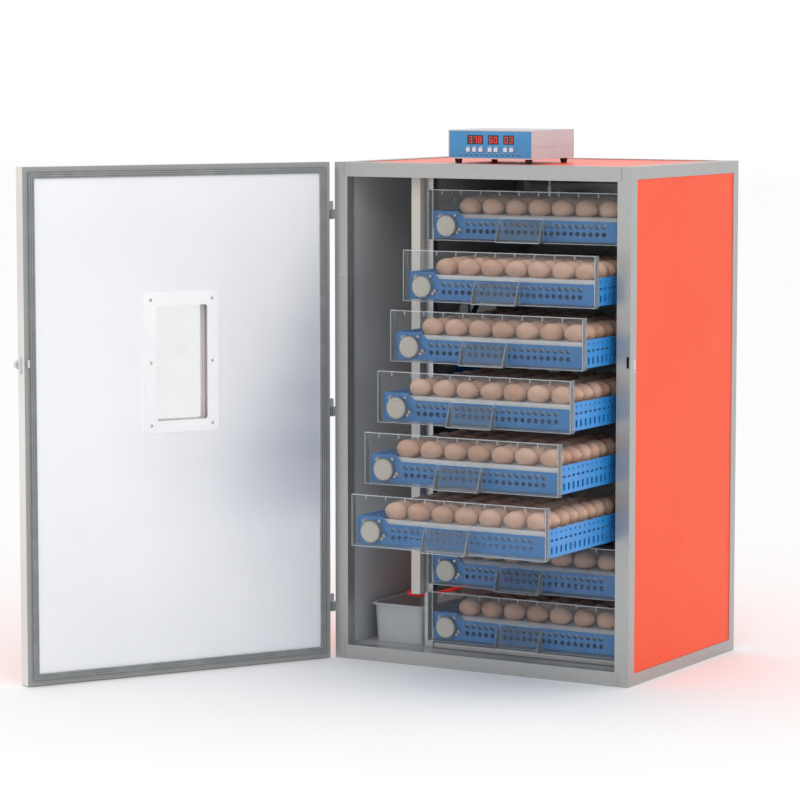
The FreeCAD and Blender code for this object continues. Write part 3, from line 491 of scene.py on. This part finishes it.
def spun(bm, profile, matrix, steps=24):
    """A turned shape: profile pairs are (along the axis, radius)."""
    rings = []
    for along, radius in profile:
        ring = []
        for i in range(steps):
            turn = 2 * math.pi * i / steps
            point = Vector((radius * math.cos(turn), radius * math.sin(turn), along))
            ring.append(bm.verts.new(matrix @ point))
        rings.append(ring)
    for first, second in zip(rings, rings[1:]):
        for i in range(steps):
            after = (i + 1) % steps
            bm.faces.new((first[i], first[after], second[after], second[i]))
    bm.faces.new(rings[0][::-1])
    bm.faces.new(rings[-1])


def facing(position, axis):
    """A matrix whose Z points along axis, at a position."""
    return Matrix.Translation(position) @ Vector(axis).to_track_quat("Z", "Y").to_matrix().to_4x4()


def screw(bm, position, axis, radius=0.003):
    """Dome-headed screw with a shallow dimple in its middle."""
    at = facing(position, axis)
    spun(bm, [(-0.0002, radius), (0.0006, radius), (0.0013, radius * 0.8),
              (0.0017, radius * 0.45), (0.0012, radius * 0.3)], at, 16)


def plate(bm, outline, thick, matrix):
    """A flat plate from an outline of (x, y) points, extruded along Z."""
    base = [bm.verts.new(matrix @ Vector((x, y, 0))) for x, y in outline]
    lid = [bm.verts.new(matrix @ Vector((x, y, thick))) for x, y in outline]
    count = len(outline)
    for i in range(count):
        after = (i + 1) % count
        bm.faces.new((base[i], base[after], lid[after], lid[i]))
    bm.faces.new(base[::-1])
    bm.faces.new(lid)


# ---- eggs ----

def egg_profile(steps=13):
    """Half length and radius along an egg, blunt at one end."""
    points = []
    for i in range(steps):
        turn = math.pi * i / (steps - 1)
        along = -math.cos(turn)
        radius = max(0.02, math.sin(turn)) * (1 - 0.13 * along)
        points.append((0.028 * along, 0.0222 * radius))
    return points


def tray_of_eggs(number):
    """63 eggs lying across the rollers, seven to a row."""
    chance = random.Random(number)
    bm = bmesh.new()
    tone = bm.faces.layers.float.new("tone")
    low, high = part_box("tray_%d_rollers" % number)
    first = low[1] + 0.013 + 0.0435 / 2
    height = (low[2] + high[2]) / 2 + 0.0282
    profile = egg_profile()
    for row in range(9):
        for place in range(7):
            centre = (-0.0745 + 0.06 * place + chance.uniform(-0.001, 0.001),
                      first + 0.0435 * row, height)
            way = 1 if chance.random() < 0.75 else -1
            turn = Matrix.Rotation(chance.uniform(-0.07, 0.07), 4, "Z")
            turn = turn @ Matrix.Rotation(way * math.pi / 2, 4, "Y")
            size = Matrix.Scale(chance.uniform(0.95, 1.0), 4)
            before = len(bm.faces)
            spun(bm, profile, Matrix.Translation(centre) @ turn @ size, 20)
            bm.faces.ensure_lookup_table()
            shade_of_egg = chance.random()
            for face in bm.faces[before:]:
                face[tone] = shade_of_egg
    piece("eggs_%d" % number, bm, "rollers_%d" % number, EGG_FINISH,
          smooth=math.radians(80))


for number in TRAYS:
    tray_of_eggs(number)


# ---- tray trim: motor faces, cover clips and screws ----

def motor_face(number):
    """Pressed end cap of the motor: rim, groove, raised middle and shaft boss."""
    low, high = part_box("tray_%d_motor" % number)
    centre = (-0.154 + 0.0435, low[1] - 0.0002, low[2] + 0.025)
    bm = bmesh.new()
    spun(bm, [(0.0, 0.0222), (0.0007, 0.0222), (0.0010, 0.0216), (0.0004, 0.0200),
              (0.0004, 0.0185), (0.0012, 0.0175), (0.0014, 0.0100), (0.0010, 0.0060),
              (0.0010, 0.0040), (0.0018, 0.0036), (0.0019, 0.0010)],
         facing(centre, (0, -1, 0)), 48)
    piece("motor_face_%d" % number, bm, "tray_%d" % number, CAP_FINISH)
    bm = bmesh.new()
    for across, up in ((0.027, -0.0145), (0.0325, -0.0075), (-0.020, 0.021), (0.021, 0.024)):
        at = facing((centre[0] + across, high[1] - 0.0160, centre[2] + up), (0, -1, 0))
        spun(bm, [(-0.0042, 0.0030), (0.0006, 0.0030), (0.0010, 0.0036), (0.0030, 0.0036),
                  (0.0036, 0.0030), (0.0036, 0.0016), (0.0028, 0.0012)], at, 18)
    piece("motor_screws_%d" % number, bm, "tray_%d" % number, SCREW_METAL)


def cover_clips(number):
    """Clear round clips that hold the cover's ends to the basket."""
    low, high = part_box("tray_%d_front" % number)
    back = high[1]
    bm = bmesh.new()
    for across in (low[0] + 0.0052, high[0] - 0.0052):
        for up in (0.020, 0.085):
            at = facing((across, back - 0.014, low[2] + up), (0, 0, 1))
            spun(bm, [(0, 0.0012), (0, 0.0020), (0.016, 0.0020), (0.0165, 0.0012)], at, 12)
    piece("cover_clips_%d" % number, bm, "tray_%d" % number,
          FINISHES["clear_acrylic"])


for number in TRAYS:
    motor_face(number)
    cover_clips(number)


# ---- door trim ----

def bezel_screws():
    bm = bmesh.new()
    middle = 0.0045 + 0.3825
    for face, way in ((0.005, 1), (-0.037, -1)):
        for across in (-0.0765, 0.0765):
            for up in (-0.1425, 0, 0.1425):
                screw(bm, (middle + across, face, 0.714 + up), (0, way, 0), 0.0034)
    piece("bezel_screws", bm, "door", SCREW_METAL, DOOR)


def latch_plate():
    """Plate on the door's free edge, around the latch's neck."""
    bm = bmesh.new()
    edge = 0.7695
    at = facing((edge, -0.016, 0.720), (1, 0, 0))
    outline = []
    for i in range(32):
        turn = 2 * math.pi * i / 32
        outline.append((0.006 * math.cos(turn), 0.020 * math.sin(turn)))
    plate(bm, outline, 0.0007, at)
    for up in (-0.013, 0.013):
        screw(bm, (edge + 0.0006, -0.016, 0.720 + up), (1, 0, 0), 0.0024)
    piece("latch_plate", bm, "door", SCREW_METAL, DOOR)


bezel_screws()
latch_plate()


# ---- controller face ----

SEGMENTS = {"0": "abcdef", "3": "abcdg", "6": "acdefg", "7": "abc", "8": "abcdefg"}


def digit(bm, figure, left, low, front):
    """One seven-segment figure, 8.4 mm wide and 15 mm tall."""
    wide, tall, bar = 0.0084, 0.0150, 0.0019
    half = tall / 2
    bars = {
        "a": (0, tall - bar, wide, tall), "d": (0, 0, wide, bar),
        "g": (0, half - bar / 2, wide, half + bar / 2),
        "f": (0, half, bar, tall), "b": (wide - bar, half, wide, tall),
        "e": (0, 0, bar, half), "c": (wide - bar, 0, wide, half)}
    for name in SEGMENTS[figure]:
        x0, z0, x1, z1 = bars[name]
        trim = 0.0002
        slab(bm, (left + x0 + trim, front, low + z0 + trim),
             (left + x1 - trim, front + 0.0003, low + z1 - trim))


def controller_face():
    low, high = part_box("controller_panel")
    windows, digits, marks, lamps = (bmesh.new() for _ in range(4))
    face = low[1]
    for left, wide, figures, dot in ((0.046, 0.042, "378", 2), (0.100, 0.028, "60", 0),
                                     (0.140, 0.028, "03", 0)):
        slab(windows, (low[0] + left + 0.0006, face + 0.0004, low[2] + 0.0306),
             (low[0] + left + wide - 0.0006, face + 0.0017, low[2] + 0.0514), 0.0004)
        start = low[0] + left + (wide - 0.0120 * len(figures) + 0.0036) / 2
        for place, figure in enumerate(figures):
            digit(digits, figure, start + 0.0120 * place, low[2] + 0.0335, face + 0.0001)
            if dot and place == dot - 1:
                slab(digits, (start + 0.0120 * place + 0.0094, face + 0.0001, low[2] + 0.0336),
                     (start + 0.0120 * place + 0.0110, face + 0.0004, low[2] + 0.0352))
    for number in range(1, 8):
        key_low, key_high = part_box("button_%d" % number)
        middle = (key_low[0] + key_high[0]) / 2
        slab(marks, (middle - 0.003, face - 0.00015, low[2] + 0.0252),
             (middle + 0.003, face + 0.0001, low[2] + 0.0262))
    for i in range(12):
        across = low[0] + 0.030 + 0.0135 * i
        spun(lamps, [(0, 0.0018), (0.0006, 0.0016), (0.0009, 0.0008)],
             facing((across, face + 0.0001, low[2] + 0.0065), (0, -1, 0)), 14)
        slab(marks, (across - 0.0025, face - 0.00015, low[2] + 0.0100),
             (across + 0.0025, face + 0.0001, low[2] + 0.0106))
    piece("display_windows", windows, "cabinet", DISPLAY_FINISH)
    piece("display_digits", digits, "cabinet", DIGIT_FINISH)
    piece("panel_marks", marks, "cabinet", MARK_FINISH)
    piece("indicator_lamps", lamps, "cabinet", LAMP_FINISH)


controller_face()


# ---- floor, light and camera ----

def floor():
    bm = bmesh.new()
    plate(bm, [(-30, -30), (30, -30), (30, 30), (-30, 30)], -0.01, Matrix.Identity(4))
    mesh = bpy.data.meshes.new("floor")
    bm.to_mesh(mesh)
    bm.free()
    paint = Paint("floor_paper", specular_ior_level=0.1)
    grain = paint.noise(3, 3)
    mesh.materials.append(paint.finish(paint.mix(grain, shade(251, 251, 251),
                                                 shade(254, 254, 254)), 0.8))
    thing = bpy.data.objects.new("floor", mesh)
    bpy.context.scene.collection.objects.link(thing)


def lamp(name, place, aim, size, power, tint=(1, 1, 1)):
    light = bpy.data.lights.new(name, "AREA")
    light.shape = "RECTANGLE"
    light.size, light.size_y = size
    light.energy = power
    light.color = tint
    thing = bpy.data.objects.new(name, light)
    thing.matrix_world = facing(place, Vector(place) - Vector(aim))
    bpy.context.scene.collection.objects.link(thing)


def studio():
    world = bpy.data.worlds.new("studio")
    world.use_nodes = True
    sky = world.node_tree.nodes["Background"]
    sky.inputs["Color"].default_value = (1, 1, 1, 1)
    sky.inputs["Strength"].default_value = 1.0
    bpy.context.scene.world = world
    lamp("key", (2.0, -3.6, 3.4), (0, -0.2, 0.6), (2.4, 2.4), 26)


def camera():
    lens = bpy.data.cameras.new("camera")
    lens.lens, lens.sensor_width = 148.6, 36
    lens.clip_end = 100
    thing = bpy.data.objects.new("camera", lens)
    thing.location = (3.6292, -6.7947, 1.3954)
    thing.rotation_euler = (math.radians(84.111), 0, math.radians(30.494))
    bpy.context.scene.collection.objects.link(thing)
    bpy.context.scene.camera = thing


floor()
studio()
camera()
bpy.context.scene.view_settings.view_transform = "Standard"
